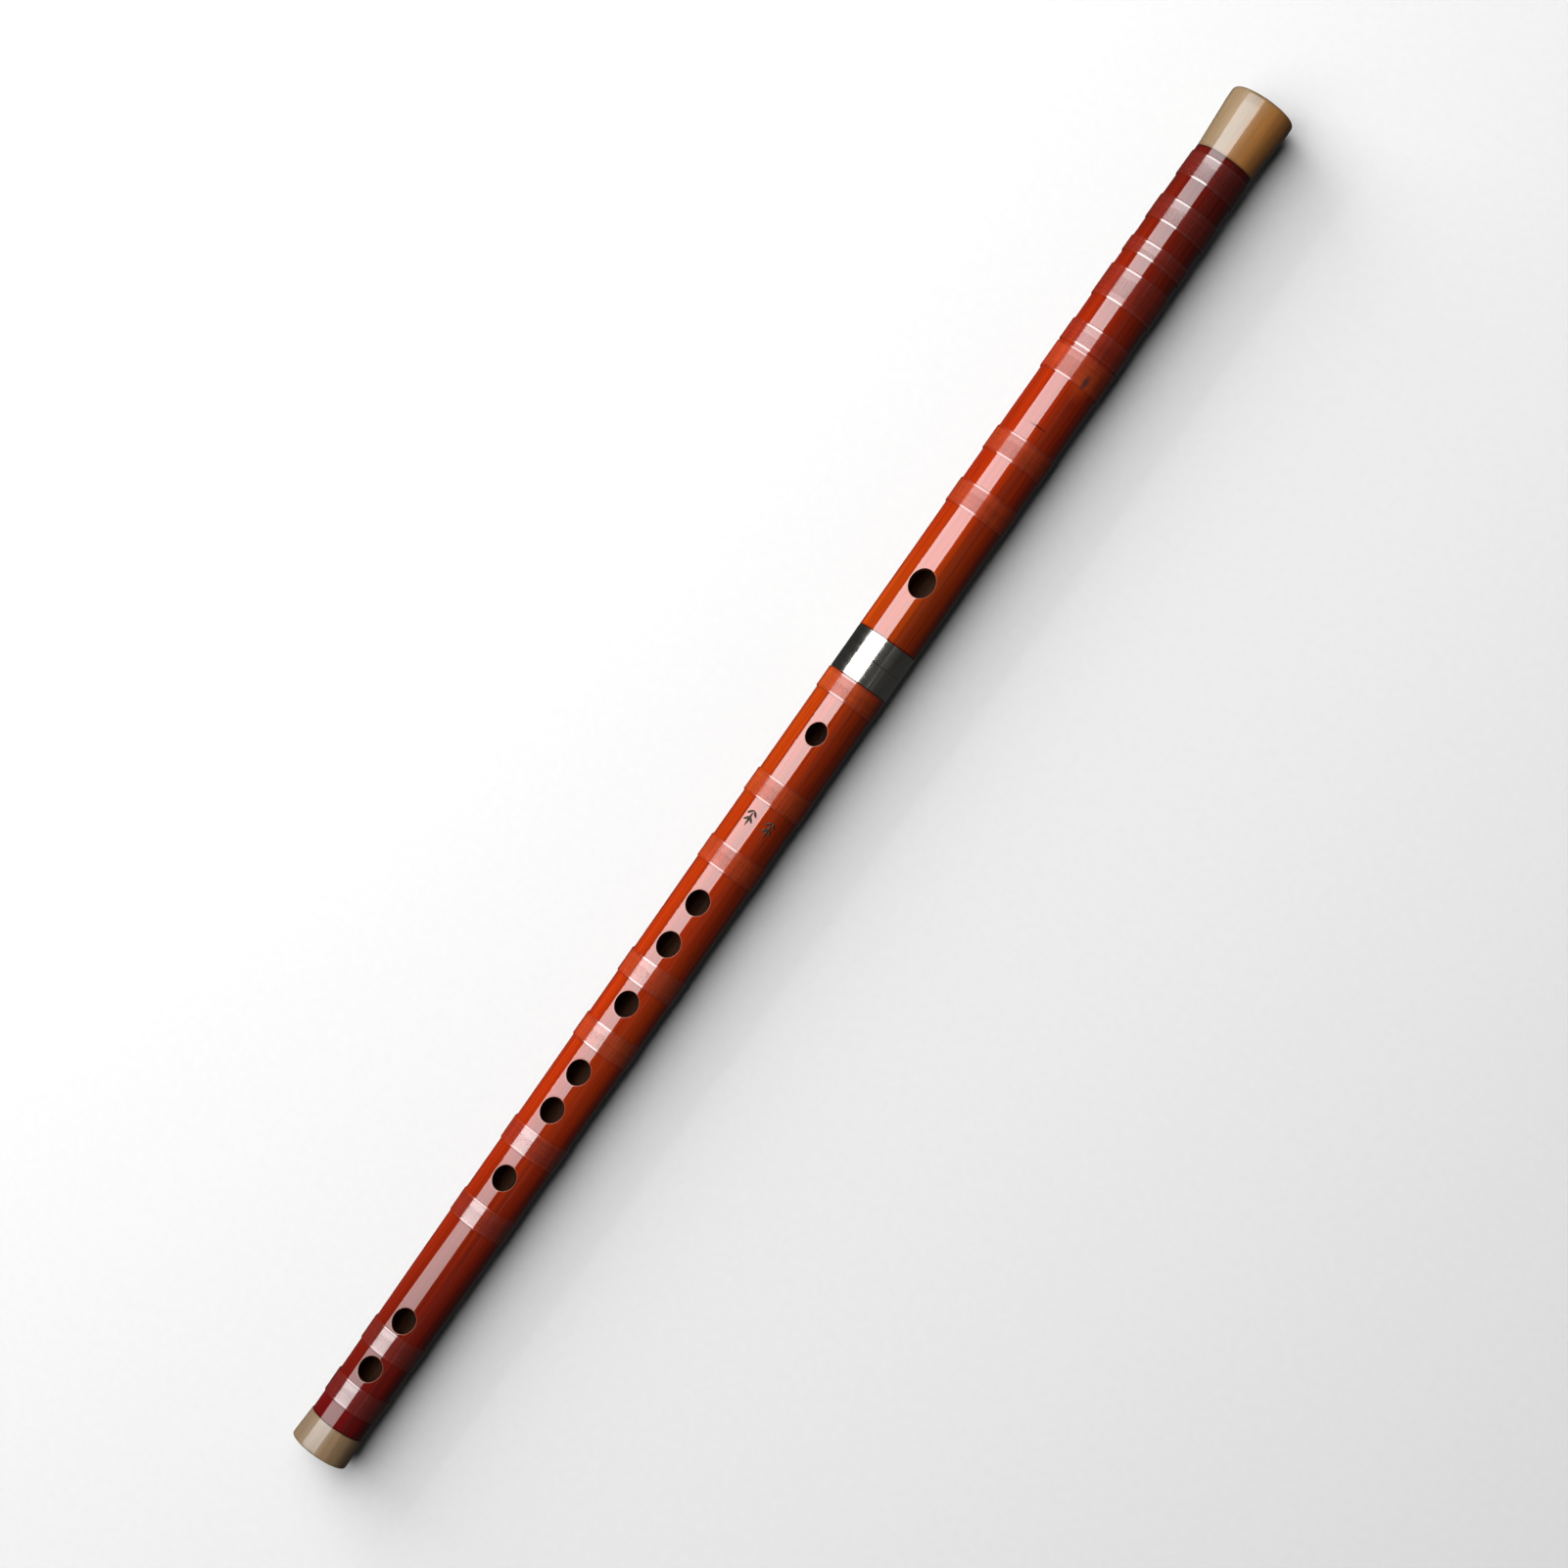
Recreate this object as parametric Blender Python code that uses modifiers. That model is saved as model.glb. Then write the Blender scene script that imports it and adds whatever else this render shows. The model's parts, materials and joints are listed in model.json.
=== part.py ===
"""A transverse bamboo flute in two sections that part at a metal tenon joint.

Metres, +Z up. The flute lies along X with its head end at -X, its foot end at +X and its
finger holes facing +Z. The origin is under the middle of its length, at the lowest point.
Places along the flute are given as distances from the head end.
"""

from math import cos, pi, radians, sin, tan, tau

import bmesh
import bpy

MM = 0.001

# Whole flute
LENGTH = 620 * MM
SIDES = 28
GAP = 0.3 * MM
BORE_RADIUS = 8.0 * MM
SEAT_DEPTH = 0.75 * MM

# Where the sections part, and the metal there
PARTING = 256.6 * MM
FERRULE_LENGTH = 9.6 * MM
FERRULE_RADIUS = 12.5 * MM
FERRULE_WALL = 0.6 * MM
FERRULE_BEVEL = 0.2 * MM
TENON_RADIUS = 9.0 * MM
TENON_REACH = 24 * MM
TENON_SEAT = 28 * MM
SOCKET_RADIUS = 9.3 * MM
SOCKET_WALL = 0.6 * MM
SOCKET_LENGTH = 27 * MM

# Horn caps
CAP_BEVEL = 1.5 * MM
CAP_LIP = 3.0 * MM
CAP_WALL = 1.8 * MM
HEAD_CAP_LENGTH = 26.6 * MM
HEAD_CAP_RIM = 13.5 * MM
HEAD_CAP_NECK = 12.2 * MM
FOOT_CAP_LENGTH = 12.5 * MM
FOOT_CAP_RIM = 11.9 * MM
FOOT_CAP_NECK = 11.45 * MM
FOOT_CAP_BEVEL = 0.4 * MM
AXIS_HEIGHT = HEAD_CAP_RIM

# Bamboo, whose head section swells from the cap and whose body tapers to the foot
HEAD_TUBE_RADIUS = 12.6 * MM
SWELL_LENGTH = 60 * MM
BODY_TUBE_RADIUS = 12.35 * MM
FOOT_TUBE_RADIUS = 11.2 * MM
TAPER_POWER = 1.5

# Thread bands: where each starts and ends
BAND_RISE = 0.45 * MM
BAND_BEVEL = 0.25 * MM
HEAD_BANDS = ((29.3, 39.9), (49.4, 59.7), (68.5, 74.9), (81.3, 94.9),
              (106.6, 115.7), (116.8, 128.4), (156.0, 166.2), (180.0, 190.4))
BODY_BANDS = ((266.6, 275.5), (313.3, 323.2), (343.7, 353.6), (396.1, 406.3), (425.7, 435.6),
              (473.3, 483.2), (506.6, 516.5), (565.4, 575.2), (589.5, 599.1))

# Holes: place, length along the flute, width across it
HOLE_SIDES = 20
BLOW_HOLE = (222.2, 11.8, 9.8)
MEMBRANE_HOLE = (291.0, 9.6, 7.8)
FINGER_HOLE_PLACES = (368.1, 387.1, 414.4, 445.7, 462.9, 494.0)
PITCH_HOLE_PLACES = (559.5, 581.5)
FINGER_HOLE_SIZE = (10.3, 8.9)
TASSEL_HOLE_PLACES = (527.0, 543.0)
TASSEL_HOLE_SIZE = (8.0, 8.0)

# Cork in the bore above the blow hole
CORK_END = 211.3 * MM
CORK_LENGTH = 24 * MM
CORK_RADIUS = 7.7 * MM
CORK_BEVEL = 0.8 * MM


def clear_scene():
    for obj in list(bpy.data.objects):
        bpy.data.objects.remove(obj, do_unlink=True)


def new_collection(name):
    collection = bpy.data.collections.new(name)
    bpy.context.scene.collection.children.link(collection)
    return collection


def material(name, color, roughness, metallic=0.0):
    found = bpy.data.materials.new(name)
    found.use_nodes = True
    shader = found.node_tree.nodes["Principled BSDF"]
    shader.inputs["Base Color"].default_value = (*color, 1.0)
    shader.inputs["Roughness"].default_value = roughness
    shader.inputs["Metallic"].default_value = metallic
    return found


def along(place):
    """The X of a distance from the head end."""
    return place - LENGTH / 2


def bamboo_radius(place):
    """Outer radius of the bamboo at a distance from the head end."""
    if place < PARTING:
        short = max(0.0, 1 - (place - HEAD_CAP_LENGTH) / SWELL_LENGTH)
        return HEAD_TUBE_RADIUS - (HEAD_TUBE_RADIUS - HEAD_CAP_NECK) * min(short, 1.0) ** 2
    down = (place - PARTING) / (LENGTH - FOOT_CAP_LENGTH - PARTING)
    return BODY_TUBE_RADIUS - (BODY_TUBE_RADIUS - FOOT_TUBE_RADIUS) * down ** TAPER_POWER


def turned(name, outside, inside, finish, collection):
    """A ring or tube turned about the flute's axis, from (place, radius) points.

    outside runs from the foot end to the head end and inside runs back. Each radius is
    where the flats of the many-sided solid lie, and one flat is exactly underneath.
    """
    outline = outside + inside
    middle = sum(place for place, _ in outline) / len(outline)
    profile = bpy.data.meshes.new(name + "_profile")
    half_flat = tan(pi / SIDES)
    points = [(place - middle, radius * half_flat, -radius) for place, radius in outline]
    edges = [(i, (i + 1) % len(points)) for i in range(len(points))]
    profile.from_pydata(points, edges, [])
    rough = bpy.data.objects.new(name + "_profile", profile)
    collection.objects.link(rough)
    screw = rough.modifiers.new("Screw", "SCREW")
    screw.axis = "X"
    screw.angle = tau
    screw.steps = SIDES
    screw.render_steps = SIDES
    screw.use_merge_vertices = True
    screw.merge_threshold = 0.00001
    graph = bpy.context.evaluated_depsgraph_get()
    mesh = bpy.data.meshes.new_from_object(rough.evaluated_get(graph))
    bpy.data.objects.remove(rough, do_unlink=True)
    mesh.name = name
    mesh.shade_smooth()
    mesh.set_sharp_from_angle(angle=radians(25))
    mesh.materials.append(finish)
    piece = bpy.data.objects.new(name, mesh)
    piece.location = (along(middle), 0, AXIS_HEIGHT)
    collection.objects.link(piece)
    return piece


def seats(bands):
    """Outline points of the shallow grooves that the thread bands lie in, foot end first."""
    points = []
    for start, end in reversed(bands):
        for place, deep in ((end * MM + GAP, False), (end * MM + GAP, True),
                            (start * MM - GAP, True), (start * MM - GAP, False)):
            points.append((place, bamboo_radius(place) - SEAT_DEPTH * deep))
    return points


def head_tube(finish, collection):
    """The bamboo from inside the head cap to the parting, with its end bored for the tenon."""
    start = CAP_LIP + GAP
    end = PARTING - GAP / 2
    rebate = PARTING - FERRULE_LENGTH - GAP
    neck = HEAD_CAP_LENGTH + GAP
    spigot = HEAD_CAP_NECK - CAP_WALL - GAP
    ferrule_seat = FERRULE_RADIUS - FERRULE_WALL - GAP
    tenon_seat = PARTING - TENON_SEAT - GAP
    outside = [(end, ferrule_seat), (rebate, ferrule_seat), (rebate, bamboo_radius(rebate))]
    outside += seats(HEAD_BANDS)
    outside += [(neck, bamboo_radius(neck)), (neck, spigot), (start, spigot)]
    inside = [(start, BORE_RADIUS), (tenon_seat, BORE_RADIUS),
              (tenon_seat, TENON_RADIUS + GAP), (end, TENON_RADIUS + GAP)]
    return turned("head_tube", outside, inside, finish, collection)


def body_tube(finish, collection):
    """The bamboo from the parting to inside the foot cap, with its end bored for the socket."""
    start = PARTING + GAP / 2
    end = LENGTH - CAP_LIP - GAP
    neck = LENGTH - FOOT_CAP_LENGTH - GAP
    spigot = FOOT_CAP_NECK - CAP_WALL - GAP
    ferrule_seat = FERRULE_RADIUS - FERRULE_WALL - GAP
    socket_seat = PARTING + SOCKET_LENGTH + GAP
    socket_bore = SOCKET_RADIUS + SOCKET_WALL + GAP
    outside = [(end, spigot), (neck, spigot), (neck, bamboo_radius(neck))]
    outside += seats(BODY_BANDS)[:-1]
    outside += [(start, ferrule_seat)]
    inside = [(start, socket_bore), (socket_seat, socket_bore),
              (socket_seat, BORE_RADIUS), (end, BORE_RADIUS)]
    return turned("body_tube", outside, inside, finish, collection)


def head_cap(finish, collection):
    """A flared ring whose lip covers the end of the bamboo."""
    corner = [(CAP_BEVEL * (1 - cos(turn)), HEAD_CAP_RIM - CAP_BEVEL * (1 - sin(turn)))
              for turn in (pi / 2, pi / 3, pi / 6, 0)]
    outside = [(HEAD_CAP_LENGTH, HEAD_CAP_NECK)] + corner
    seat = HEAD_CAP_NECK - CAP_WALL
    inside = [(0, BORE_RADIUS), (CAP_LIP, BORE_RADIUS), (CAP_LIP, seat), (HEAD_CAP_LENGTH, seat)]
    return turned("head_cap", outside, inside, finish, collection)


def foot_cap(finish, collection):
    """A shorter ring at the foot, nearly straight, with a crisp edge."""
    neck = LENGTH - FOOT_CAP_LENGTH
    outside = [(LENGTH, FOOT_CAP_RIM - FOOT_CAP_BEVEL), (LENGTH - FOOT_CAP_BEVEL, FOOT_CAP_RIM),
               (neck, FOOT_CAP_NECK)]
    seat = FOOT_CAP_NECK - CAP_WALL
    inside = [(neck, seat), (LENGTH - CAP_LIP, seat), (LENGTH - CAP_LIP, BORE_RADIUS),
              (LENGTH, BORE_RADIUS)]
    return turned("foot_cap", outside, inside, finish, collection)


def ferrule(name, start, end, finish, collection):
    """A thin polished ring with bevelled edges."""
    low = FERRULE_RADIUS - FERRULE_BEVEL
    outside = [(end, low), (end - FERRULE_BEVEL, FERRULE_RADIUS),
               (start + FERRULE_BEVEL, FERRULE_RADIUS), (start, low)]
    bore = FERRULE_RADIUS - FERRULE_WALL
    return turned(name, outside, [(start, bore), (end, bore)], finish, collection)


def pipe(name, start, end, outer, inner, finish, collection):
    return turned(name, [(end, outer), (start, outer)], [(start, inner), (end, inner)],
                  finish, collection)


def cork(finish, collection):
    start = CORK_END - CORK_LENGTH
    low = CORK_RADIUS - CORK_BEVEL
    outside = [(CORK_END, low), (CORK_END - CORK_BEVEL, CORK_RADIUS),
               (start + CORK_BEVEL, CORK_RADIUS), (start, low)]
    stopper = turned("cork_stopper", outside, [], finish, collection)
    close_ends(stopper.data)
    return stopper


def close_ends(mesh):
    """Fills the two open rings of a turned side with flat faces."""
    shell = bmesh.new()
    shell.from_mesh(mesh)
    bmesh.ops.holes_fill(shell, edges=[edge for edge in shell.edges if edge.is_boundary])
    bmesh.ops.recalc_face_normals(shell, faces=shell.faces)
    shell.to_mesh(mesh)
    shell.free()


def thread_band(name, start, end, finish, collection):
    """The wound thread as one ring, standing a little proud of the bamboo."""
    low = BAND_RISE - BAND_BEVEL
    outside = [(end, bamboo_radius(end) + low),
               (end - BAND_BEVEL, bamboo_radius(end) + BAND_RISE),
               (start + BAND_BEVEL, bamboo_radius(start) + BAND_RISE),
               (start, bamboo_radius(start) + low)]
    inside = [(place, bamboo_radius(place) - SEAT_DEPTH + GAP) for place in (start, end)]
    return turned(name, outside, inside, finish, collection)


def cut_hole(tube, name, place, size, upward, cutters):
    """Bores an oval hole through one wall of a tube, from above or from below."""
    drill = bmesh.new()
    bmesh.ops.create_cone(drill, cap_ends=True, segments=HOLE_SIDES, radius1=0.5, radius2=0.5,
                          depth=2 * HEAD_TUBE_RADIUS)
    bmesh.ops.scale(drill, vec=(size[0] * MM, size[1] * MM, 1), verts=drill.verts)
    mesh = bpy.data.meshes.new(name)
    drill.to_mesh(mesh)
    drill.free()
    cutter = bpy.data.objects.new(name, mesh)
    side = 1 if upward else -1
    cutter.location = (along(place * MM), 0, AXIS_HEIGHT + side * HEAD_TUBE_RADIUS)
    cutter.hide_render = True
    cutter.display_type = "WIRE"
    cutters.objects.link(cutter)
    cut = tube.modifiers.new(name, "BOOLEAN")
    cut.operation = "DIFFERENCE"
    cut.solver = "EXACT"
    cut.object = cutter


def build():
    clear_scene()
    flute = new_collection("bamboo_flute")
    cutters = new_collection("hole_cutters")
    bamboo = material("lacquered_bamboo", (0.55, 0.06, 0.01), 0.22)
    horn = material("pale_horn", (0.55, 0.36, 0.17), 0.35)
    foot_horn = material("grey_horn", (0.40, 0.31, 0.20), 0.35)
    thread = material("lacquered_thread", (0.45, 0.08, 0.05), 0.3)
    nickel = material("polished_nickel", (0.80, 0.79, 0.76), 0.15, 1.0)
    brass = material("drawn_brass", (0.80, 0.58, 0.28), 0.25, 1.0)
    cork_brown = material("cork", (0.50, 0.32, 0.18), 0.9)

    upper = head_tube(bamboo, flute)
    lower = body_tube(bamboo, flute)
    head_cap(horn, flute)
    foot_cap(foot_horn, flute)
    cork(cork_brown, flute)
    ferrule("head_ferrule", PARTING - FERRULE_LENGTH, PARTING - GAP / 2, nickel, flute)
    ferrule("body_ferrule", PARTING + GAP / 2, PARTING + FERRULE_LENGTH, nickel, flute)
    pipe("tenon_tube", PARTING - TENON_SEAT, PARTING + TENON_REACH, TENON_RADIUS, BORE_RADIUS,
         brass, flute)
    pipe("socket_tube", PARTING + GAP / 2, PARTING + SOCKET_LENGTH,
         SOCKET_RADIUS + SOCKET_WALL, SOCKET_RADIUS, brass, flute)
    for section, bands in (("head", HEAD_BANDS), ("body", BODY_BANDS)):
        for count, (start, end) in enumerate(bands, 1):
            thread_band(f"{section}_binding_{count}", start * MM, end * MM, thread, flute)

    cut_hole(upper, "blow_hole", BLOW_HOLE[0], BLOW_HOLE[1:], True, cutters)
    cut_hole(lower, "membrane_hole", MEMBRANE_HOLE[0], MEMBRANE_HOLE[1:], True, cutters)
    for count, place in enumerate(FINGER_HOLE_PLACES, 1):
        cut_hole(lower, f"finger_hole_{count}", place, FINGER_HOLE_SIZE, True, cutters)
    for count, place in enumerate(PITCH_HOLE_PLACES, 1):
        cut_hole(lower, f"pitch_hole_{count}", place, FINGER_HOLE_SIZE, True, cutters)
    for count, place in enumerate(TASSEL_HOLE_PLACES, 1):
        cut_hole(lower, f"tassel_hole_{count}", place, TASSEL_HOLE_SIZE, False, cutters)


build()
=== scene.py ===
"""Looks of the transverse bamboo flute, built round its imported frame.

Metres. The flute lies along X with its head end at -X and its finger holes facing +Z.
"""

import json
from math import atan, cos, pi, radians, sin, tau

import bmesh
import bpy
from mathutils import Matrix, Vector
from mathutils.bvhtree import BVHTree


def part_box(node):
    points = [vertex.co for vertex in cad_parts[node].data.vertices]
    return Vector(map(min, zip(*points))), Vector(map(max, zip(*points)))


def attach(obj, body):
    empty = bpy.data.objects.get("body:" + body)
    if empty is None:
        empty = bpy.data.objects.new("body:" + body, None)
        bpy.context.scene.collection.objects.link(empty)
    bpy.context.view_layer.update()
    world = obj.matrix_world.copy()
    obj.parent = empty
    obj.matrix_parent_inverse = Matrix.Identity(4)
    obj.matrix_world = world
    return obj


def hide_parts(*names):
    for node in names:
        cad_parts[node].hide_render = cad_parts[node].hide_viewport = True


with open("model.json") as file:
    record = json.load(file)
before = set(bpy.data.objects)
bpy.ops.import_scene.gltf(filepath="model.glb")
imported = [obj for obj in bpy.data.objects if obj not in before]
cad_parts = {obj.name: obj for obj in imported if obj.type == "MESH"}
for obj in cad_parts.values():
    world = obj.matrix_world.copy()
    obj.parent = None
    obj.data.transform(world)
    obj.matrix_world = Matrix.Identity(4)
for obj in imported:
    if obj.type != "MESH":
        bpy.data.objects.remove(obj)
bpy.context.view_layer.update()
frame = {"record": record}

MM = 0.001

# Sizes read from the frame
HEAD_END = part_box("head_cap")[0].x
HEAD_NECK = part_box("head_cap")[1].x
FOOT_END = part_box("foot_cap")[1].x
FOOT_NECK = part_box("foot_cap")[0].x
PARTING = (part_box("head_ferrule")[1].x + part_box("body_ferrule")[0].x) / 2
AXIS_HEIGHT = (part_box("body_tube")[0].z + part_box("body_tube")[1].z) / 2
HEAD_TUBE_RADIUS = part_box("head_tube")[1].y
BODY_TUBE_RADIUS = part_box("body_tube")[1].y
FERRULE_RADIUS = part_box("head_ferrule")[1].y
HEAD_CAP_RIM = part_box("head_cap")[1].y
FOOT_CAP_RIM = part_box("foot_cap")[1].y
TENON_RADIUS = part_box("tenon_tube")[1].y
SOCKET_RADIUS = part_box("socket_tube")[1].y
CORK_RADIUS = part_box("cork_stopper")[1].y

# Sizes that the boxes don't give
GAP = 0.3 * MM
BORE_RADIUS = 8.0 * MM
HEAD_CAP_NECK = 12.2 * MM
FOOT_CAP_NECK = 11.45 * MM
CAP_WALL = 1.8 * MM
CAP_LIP = 3.0 * MM
FERRULE_WALL = 0.6 * MM
TENON_BORE = 8.0 * MM
SOCKET_BORE = 9.3 * MM
SWELL_LENGTH = 60 * MM
FOOT_TUBE_RADIUS = 11.2 * MM
TAPER_POWER = 1.5
BAND_RISE = 0.45 * MM
BLOW_HOLE = (11.8 * MM, 9.8 * MM)
MEMBRANE_HOLE = (9.6 * MM, 7.8 * MM)
FINGER_HOLE = (10.3 * MM, 8.9 * MM)
TASSEL_HOLE = (8.0 * MM, 8.0 * MM)
CORK_BEVEL = 0.8 * MM
# how far the bamboo's shoulders stop from the caps and ferrules
SHOULDER_GAP = 0.05 * MM
# half the slit between the two ferrules
JOINT_GAP = 0.03 * MM
# half the width of the lacquer bead at each edge of a binding
BEAD = 0.65 * MM

# Marks in the bamboo: X, and degrees from the top towards +Y
BUD_SCAR = (-0.1842, 31)
JOINT_MARK = (-0.1605, 10)
UPPER_LEAF = (0.0176, -12)
LOWER_LEAF = (0.0176, 28)

# How finely the round shapes are made
SIDES = 120
CORK_SIDES = 64
BEAD_SIDES = 96
LEAF_STEPS = 10
PATCH_SIDES = 10
PATCH_BORE_SIDES = 16
PATCH_ROWS = 16
PATCH_BORE_ROWS = 4
PATCH_MARGIN = 1.6 * MM
ROW_SPACING = 1.3 * MM
BORE_ROW_SPACING = 4 * MM
RIM_ROUND = 0.25 * MM
UNDERCUT = 0.35 * MM

# Down a hole: the last ring of points of the rim, how much the rings below it go with the outer
# wall, and the first strip of faces that is lacquered like the bore
RIM_END = 6
THROAT_SHARES = {7: 0.6, 8: 0.3}
BORED_FROM = 4


# ---------------------------------------------------------------- node trees


class Nodes:
    """A short way to write a shader tree or a geometry tree."""

    def __init__(self, tree):
        self.tree = tree

    def add(self, kind, inputs=None, **settings):
        node = self.tree.nodes.new(kind)
        for name, value in settings.items():
            setattr(node, name, value)
        for name, value in (inputs or {}).items():
            self.set(node.inputs[name], value)
        return node

    def set(self, socket, value):
        if isinstance(value, bpy.types.NodeSocket):
            self.tree.links.new(value, socket)
        else:
            socket.default_value = value

    def math(self, operation, a, b=0.0, c=0.0, clamp=False):
        node = self.add("ShaderNodeMath", operation=operation, use_clamp=clamp)
        for socket, value in zip(node.inputs, (a, b, c)):
            self.set(socket, value)
        return node.outputs[0]

    def total(self, first, *others):
        for other in others:
            first = self.math("ADD", first, other)
        return first

    def product(self, first, *others):
        for other in others:
            first = self.math("MULTIPLY", first, other)
        return first

    def span(self, value, low, high, to_low=0.0, to_high=1.0):
        node = self.add("ShaderNodeMapRange", {"Value": value, "From Min": low, "From Max": high,
                                               "To Min": to_low, "To Max": to_high})
        return node.outputs["Result"]

    def mix(self, factor, a, b, blend="MIX"):
        node = self.add("ShaderNodeMix", data_type="RGBA", blend_type=blend)
        # a Mix node has one set of sockets for each kind of data
        self.set(node.inputs["Factor"], factor)
        colors = [socket for socket in node.inputs if socket.type == "RGBA"]
        self.set(colors[0], a)
        self.set(colors[1], b)
        return next(socket for socket in node.outputs if socket.type == "RGBA")

    def shaded(self, color, amount):
        """The colour made darker or lighter by a number."""
        grey = self.add("ShaderNodeCombineColor", {"Red": amount, "Green": amount, "Blue": amount})
        return self.mix(1.0, color, grey.outputs[0], "MULTIPLY")

    def ramp(self, factor, *stops):
        node = self.add("ShaderNodeValToRGB")
        self.set(node.inputs[0], factor)
        elements = node.color_ramp.elements
        while len(elements) < len(stops):
            elements.new(0.5)
        for element, (place, color) in zip(elements, stops):
            element.position = place
            element.color = rgba(color)
        return node.outputs["Color"]

    def xyz(self, vector):
        return self.add("ShaderNodeSeparateXYZ", {"Vector": vector}).outputs

    def vector(self, x, y, z):
        return self.add("ShaderNodeCombineXYZ", {"X": x, "Y": y, "Z": z}).outputs[0]

    def attribute(self, name, kind):
        return self.add("GeometryNodeInputNamedAttribute", {"Name": name}, data_type=kind).outputs[0]

    def place(self):
        """Where the surface is, on the piece's own coordinates."""
        return self.add("ShaderNodeTexCoord").outputs["Object"]

    def noise(self, repeats, detail=3.0, rough=0.55, shift=(0, 0, 0)):
        """Noise on the piece's own coordinates, with so many repeats per metre each way."""
        mapping = self.add("ShaderNodeMapping",
                           {"Vector": self.place(), "Scale": repeats, "Location": shift})
        found = self.add("ShaderNodeTexNoise", {"Vector": mapping.outputs[0], "Scale": 1.0,
                                                "Detail": detail, "Roughness": rough})
        return found.outputs["Fac"]

    def bump(self, height, strength, distance, under=None):
        node = self.add("ShaderNodeBump", {"Height": height, "Strength": strength, "Distance": distance})
        if under:
            self.set(node.inputs["Normal"], under)
        return node.outputs[0]


def rgba(color):
    return (color, color, color, 1.0) if isinstance(color, float) else (*color, 1.0)


def geometry_tree(name, **inputs):
    """A geometry tree with a geometry input and the named inputs; returns it, its nodes and its inputs."""
    tree = bpy.data.node_groups.new(name, "GeometryNodeTree")
    tree.interface.new_socket("Geometry", in_out="INPUT", socket_type="NodeSocketGeometry")
    tree.interface.new_socket("Geometry", in_out="OUTPUT", socket_type="NodeSocketGeometry")
    for label, (kind, value) in inputs.items():
        socket = tree.interface.new_socket(label.replace("_", " "), in_out="INPUT", socket_type=kind)
        if value is not None:
            socket.default_value = value
    nodes = Nodes(tree)
    return tree, nodes, nodes.add("NodeGroupInput").outputs


def give_tree(host, tree, **values):
    """Puts the tree on the host with its inputs set by their identifiers."""
    modifier = host.modifiers.new(tree.name, "NODES")
    modifier.node_group = tree
    names = {item.name: item.identifier for item in tree.interface.items_tree if item.in_out == "INPUT"}
    for label, value in values.items():
        modifier[names[label.replace("_", " ")]] = value


def made_plain(host, name, sharp):
    """The evaluated host as a plain mesh piece at the origin; the host is taken away."""
    graph = bpy.context.evaluated_depsgraph_get()
    mesh = bpy.data.meshes.new_from_object(host.evaluated_get(graph))
    mesh.name = name
    mesh.shade_smooth()
    mesh.set_sharp_from_angle(angle=radians(sharp))
    bpy.data.objects.remove(host)
    return shown(name, mesh)


def shown(name, mesh):
    piece = bpy.data.objects.new(name, mesh)
    bpy.context.scene.collection.objects.link(piece)
    return piece


# ---------------------------------------------------------------- finishes


def finish(name, **values):
    """A material, its nodes and its shader's sockets; plain values go on the shader's own sockets."""
    found = bpy.data.materials.new(name)
    found.use_nodes = True
    sockets = found.node_tree.nodes["Principled BSDF"].inputs
    for label, value in values.items():
        sockets[label.replace("_", " ")].default_value = value
    return found, Nodes(found.node_tree), sockets


def bamboo_tone(nodes):
    """Red lacquer over bamboo: crimson at both ends and orange between, with fine fibres in it. The
    darkening towards both ends is partly the lacquer's own crimson and partly painted shade, where the
    light falls off along the flute.

    The head section also has its one joint mark and its one bud scar.
    """
    x = nodes.xyz(nodes.place())["X"]
    drift = nodes.math("SUBTRACT", nodes.noise((9, 50, 50), 2.0), 0.5)
    length = nodes.total(nodes.span(x, HEAD_END, FOOT_END), nodes.product(drift, 0.05))
    # painted shade: the ramp darkens towards both ends partly for the light falling off there, on top of
    # the lacquer's own crimson
    tone = nodes.ramp(length, (0.045, (0.038, 0.0018, 0.0014)), (0.075, (0.048, 0.0024, 0.0008)),
                      (0.105, (0.060, 0.0030, 0.0005)), (0.20, (0.118, 0.0060, 0.0004)),
                      (0.30, (0.138, 0.0080, 0.0003)), (0.37, (0.146, 0.0125, 0.0004)),
                      (0.55, (0.132, 0.0098, 0.0004)), (0.73, (0.126, 0.0080, 0.0004)),
                      (0.80, (0.108, 0.0064, 0.0005)), (0.87, (0.086, 0.0048, 0.0007)),
                      (0.925, (0.066, 0.0030, 0.0009)), (0.975, (0.051, 0.0010, 0.0013)))
    ripe = nodes.span(nodes.noise((7, 70, 70), 3.0, 0.5, (1, 2, 0)), 0.50, 0.66, 0.0, 0.45)
    warm = nodes.mix(1.0, tone, rgba((1.10, 1.75, 0.9)), "MULTIPLY")
    tone = nodes.mix(ripe, tone, warm)
    fibres = nodes.span(nodes.noise((10, 1100, 1100), 4.0, 0.6), 0.30, 0.70, 0.70, 1.28)
    streaks = nodes.span(nodes.noise((4, 190, 190), 3.0, 0.5, (3, 0, 0)), 0.30, 0.70, 0.76, 1.22)
    flecks = nodes.span(nodes.noise((60, 900, 900), 2.0, 0.5, (0, 7, 0)), 0.70, 0.76, 1.0, 0.55)
    tone = nodes.shaded(tone, nodes.product(fibres, streaks, flecks, seam_darkening(nodes, x)))
    halo = spot(nodes, BUD_SCAR, 6.5 * MM, 17, 0.45)
    tone = nodes.mix(nodes.product(halo, 0.6), tone, rgba((0.190, 0.0190, 0.0016)))
    tone = nodes.mix(bud_scar(nodes), tone, rgba((0.020, 0.008, 0.010)))
    return nodes.mix(nodes.product(joint_mark(nodes), 0.85), tone, rgba((0.016, 0.004, 0.002)))


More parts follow.
